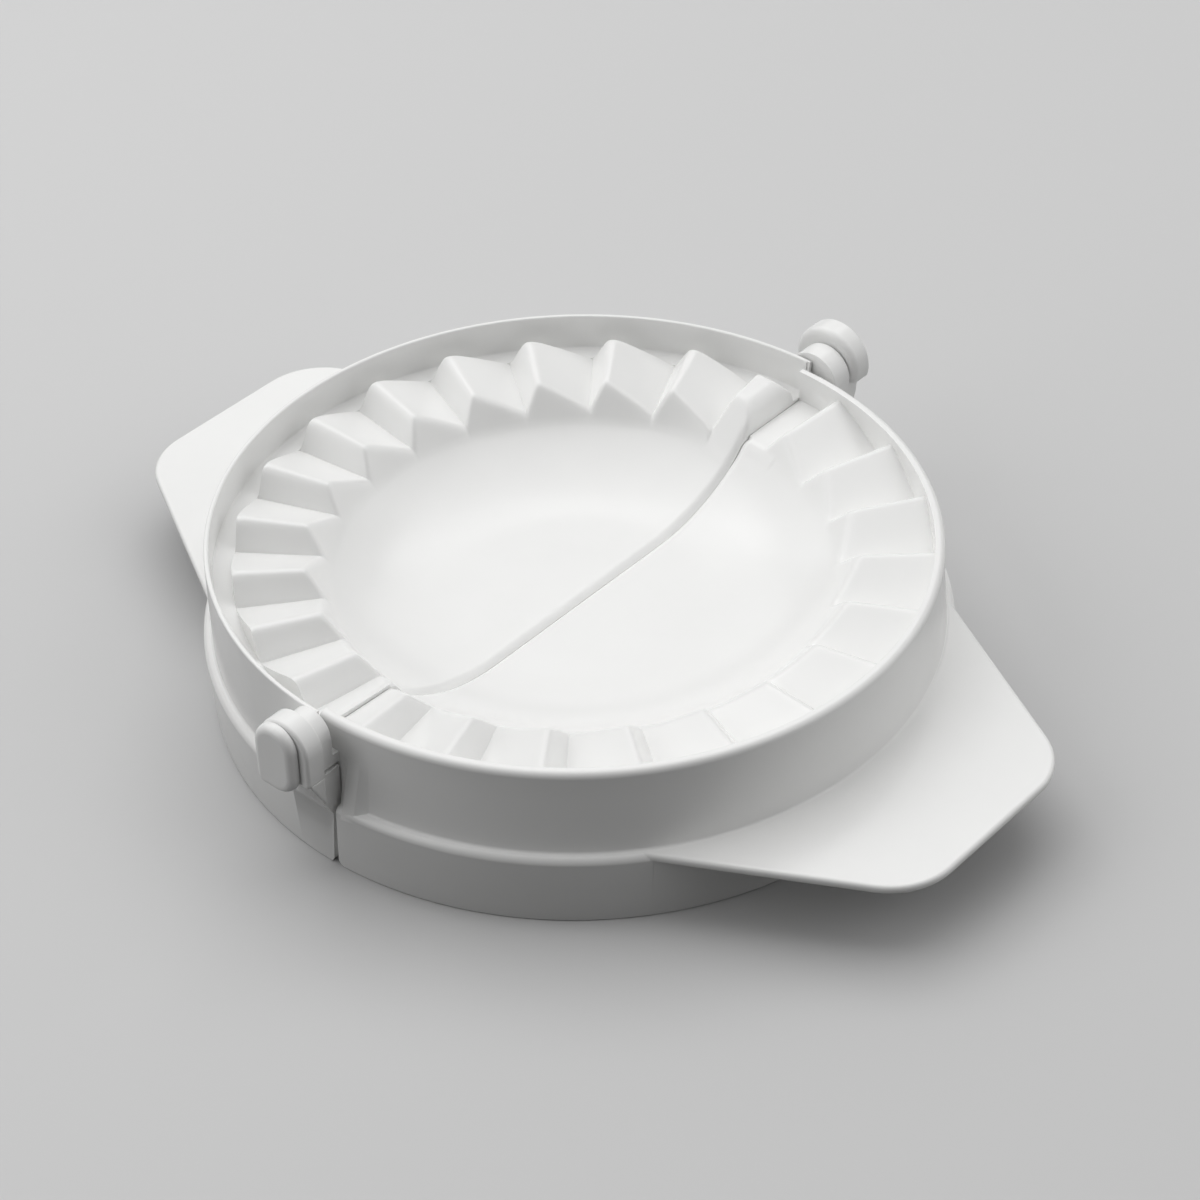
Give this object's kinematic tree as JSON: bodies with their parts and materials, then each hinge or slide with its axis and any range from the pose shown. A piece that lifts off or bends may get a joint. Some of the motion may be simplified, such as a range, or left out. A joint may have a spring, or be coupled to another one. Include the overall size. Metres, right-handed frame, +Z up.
{
  "type": "dumpling press",
  "caption": "Folding hand press for filled dough rounds: two toothed half bowls with finger tabs, joined by a hinge.",
  "frame": {"origin": "centre of the round body on the plane of its base edge, with the press lying open", "axes": "+Z up, X along the two finger tabs with the fixed half on +X, Y along the hinge axis with the headed hinge pin at -Y"},
  "size_m": [0.138, 0.113, 0.0271],
  "materials": {
    "white_plastic": "glossy white moulded plastic"
  },
  "bodies": {
    "fixed": {"fixed_half": "white_plastic", "hinge_pin": "white_plastic"},
    "swing": {"swing_half": "white_plastic"}
  },
  "joints": [
    {"name": "fold", "type": "hinge", "parent": "fixed", "child": "swing", "pos_m": [0, 0, 0.0218], "axis": [0, 1, 0], "range_deg": [0, 180]}
  ]
}
